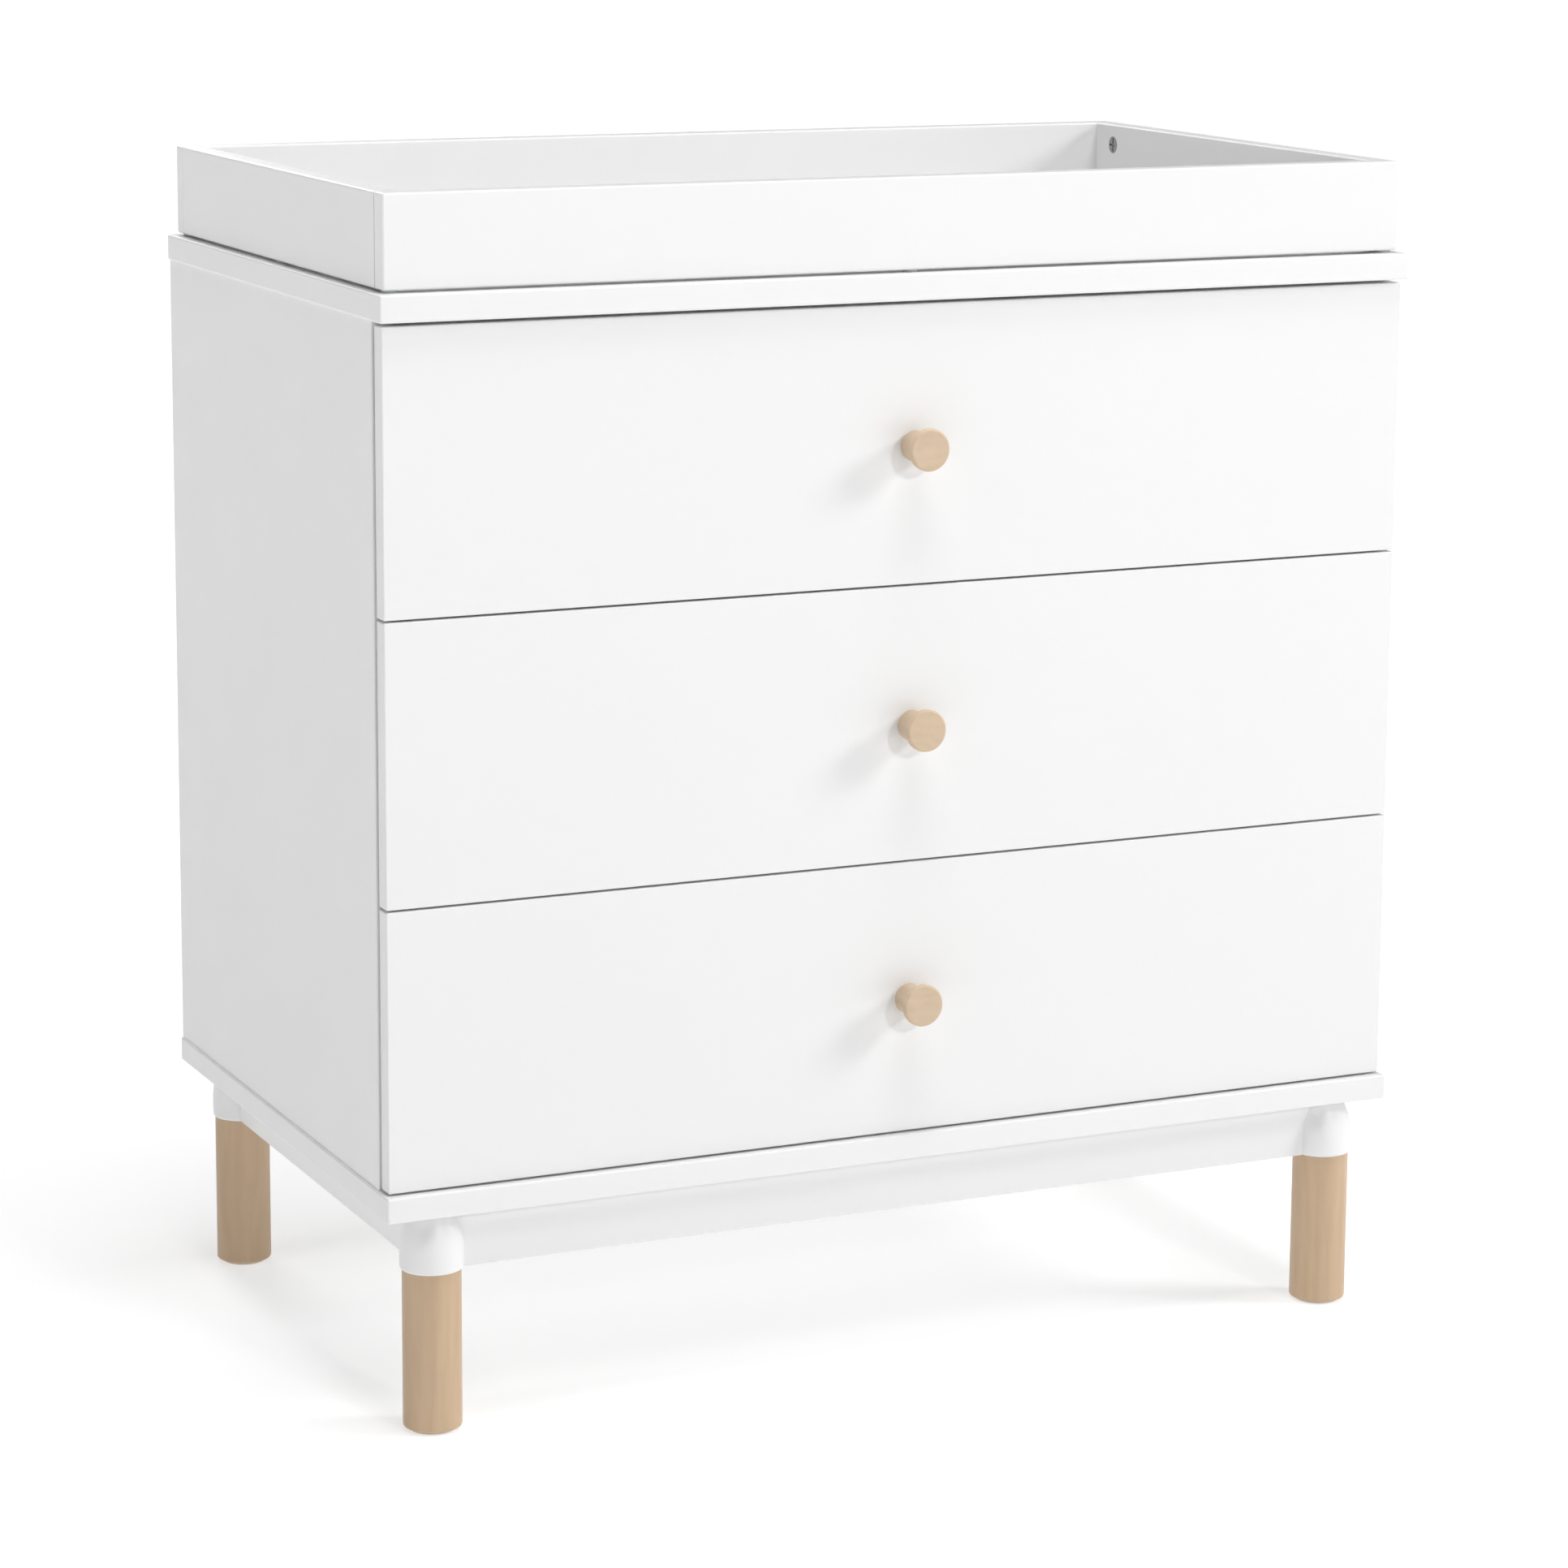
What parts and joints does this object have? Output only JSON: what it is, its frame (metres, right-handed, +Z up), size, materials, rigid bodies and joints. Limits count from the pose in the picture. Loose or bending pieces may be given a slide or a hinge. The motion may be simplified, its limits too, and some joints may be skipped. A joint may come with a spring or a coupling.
{
  "type": "changing table",
  "caption": "White nursery dresser with full-width drawers, round wooden knobs and legs, and a lift-off rimmed changing tray on its top.",
  "frame": {"origin": "on the floor, under the middle of the whole object, front knobs and rear fittings included", "axes": "+Z up, +X to the viewer's right when facing the drawers, so the drawer fronts face -Y; length units are metres"},
  "size_m": [0.883, 0.543, 0.9555],
  "materials": {
    "white_lacquer": "white satin lacquer on board",
    "back_board": "white painted hardboard, matt",
    "natural_wood": "pale beech, clear satin",
    "drawer_box_wood": "pale plywood, clear matt",
    "slide_steel": "zinc-plated rolled steel",
    "cam_zinc": "die-cast zinc, dull",
    "zinc_steel": "zinc-plated steel",
    "clear_rubber": "translucent bumper",
    "glide_nylon": "matt nylon"
  },
  "bodies": {
    "cabinet": {"anti_tip_brackets": "zinc_steel", "back_panel": "back_board", "bottom_panel": "white_lacquer", "cabinet_cam_bolts": "zinc_steel", "cabinet_cams": "cam_zinc", "corner_blocks": "white_lacquer", "drawer_dividers": "white_lacquer", "floor_glides": "glide_nylon", "front_apron": "white_lacquer", "front_left_collar": "white_lacquer", "front_left_leg": "natural_wood", "front_right_collar": "white_lacquer", "front_right_leg": "natural_wood", "left_apron": "white_lacquer", "left_side_panel": "white_lacquer", "leg_bolts": "zinc_steel", "outer_slides": "slide_steel", "rear_apron": "white_lacquer", "rear_left_collar": "white_lacquer", "rear_left_leg": "natural_wood", "rear_right_collar": "white_lacquer", "rear_right_leg": "natural_wood", "right_apron": "white_lacquer", "right_side_panel": "white_lacquer", "top_panel": "white_lacquer", "top_rails": "white_lacquer", "tray_hook_screws": "zinc_steel"},
    "tray": {"tray_bracket_screws": "zinc_steel", "tray_brackets": "zinc_steel", "tray_cam_bolts": "zinc_steel", "tray_cams": "cam_zinc", "tray_front_board": "white_lacquer", "tray_left_board": "white_lacquer", "tray_pads": "clear_rubber", "tray_rear_board": "white_lacquer", "tray_right_board": "white_lacquer"},
    "upper_drawer": {"upper_drawer_back": "drawer_box_wood", "upper_drawer_bottom": "drawer_box_wood", "upper_drawer_front": "white_lacquer", "upper_drawer_sides": "drawer_box_wood", "upper_inner_slides": "slide_steel", "upper_knob": "natural_wood", "upper_knob_screw": "zinc_steel"},
    "upper_slide_carriers": {"upper_middle_slides": "slide_steel"},
    "middle_drawer": {"middle_drawer_back": "drawer_box_wood", "middle_drawer_bottom": "drawer_box_wood", "middle_drawer_front": "white_lacquer", "middle_drawer_sides": "drawer_box_wood", "middle_inner_slides": "slide_steel", "middle_knob": "natural_wood", "middle_knob_screw": "zinc_steel"},
    "middle_slide_carriers": {"middle_middle_slides": "slide_steel"},
    "lower_drawer": {"lower_drawer_back": "drawer_box_wood", "lower_drawer_bottom": "drawer_box_wood", "lower_drawer_front": "white_lacquer", "lower_drawer_sides": "drawer_box_wood", "lower_inner_slides": "slide_steel", "lower_knob": "natural_wood", "lower_knob_screw": "zinc_steel"},
    "lower_slide_carriers": {"lower_middle_slides": "slide_steel"}
  },
  "joints": [
    {"name": "upper_drawer_slide", "type": "slide", "parent": "cabinet", "child": "upper_drawer", "axis": [0, -1, 0], "range_m": [0, 0.35]},
    {"name": "upper_slide_carrier_slide", "type": "slide", "parent": "cabinet", "child": "upper_slide_carriers", "axis": [0, -1, 0], "range_m": [0, 0.175]},
    {"name": "middle_drawer_slide", "type": "slide", "parent": "cabinet", "child": "middle_drawer", "axis": [0, -1, 0], "range_m": [0, 0.35]},
    {"name": "middle_slide_carrier_slide", "type": "slide", "parent": "cabinet", "child": "middle_slide_carriers", "axis": [0, -1, 0], "range_m": [0, 0.175]},
    {"name": "lower_drawer_slide", "type": "slide", "parent": "cabinet", "child": "lower_drawer", "axis": [0, -1, 0], "range_m": [0, 0.35]},
    {"name": "lower_slide_carrier_slide", "type": "slide", "parent": "cabinet", "child": "lower_slide_carriers", "axis": [0, -1, 0], "range_m": [0, 0.175]},
    {"name": "tray_lift", "type": "slide", "parent": "cabinet", "child": "tray", "axis": [0, 0, 1], "range_m": [0, 0.1]}
  ],
  "couplings": [
    {"joint": "upper_slide_carrier_slide", "follows": "upper_drawer_slide", "ratio": 0.5},
    {"joint": "middle_slide_carrier_slide", "follows": "middle_drawer_slide", "ratio": 0.5},
    {"joint": "lower_slide_carrier_slide", "follows": "lower_drawer_slide", "ratio": 0.5}
  ]
}
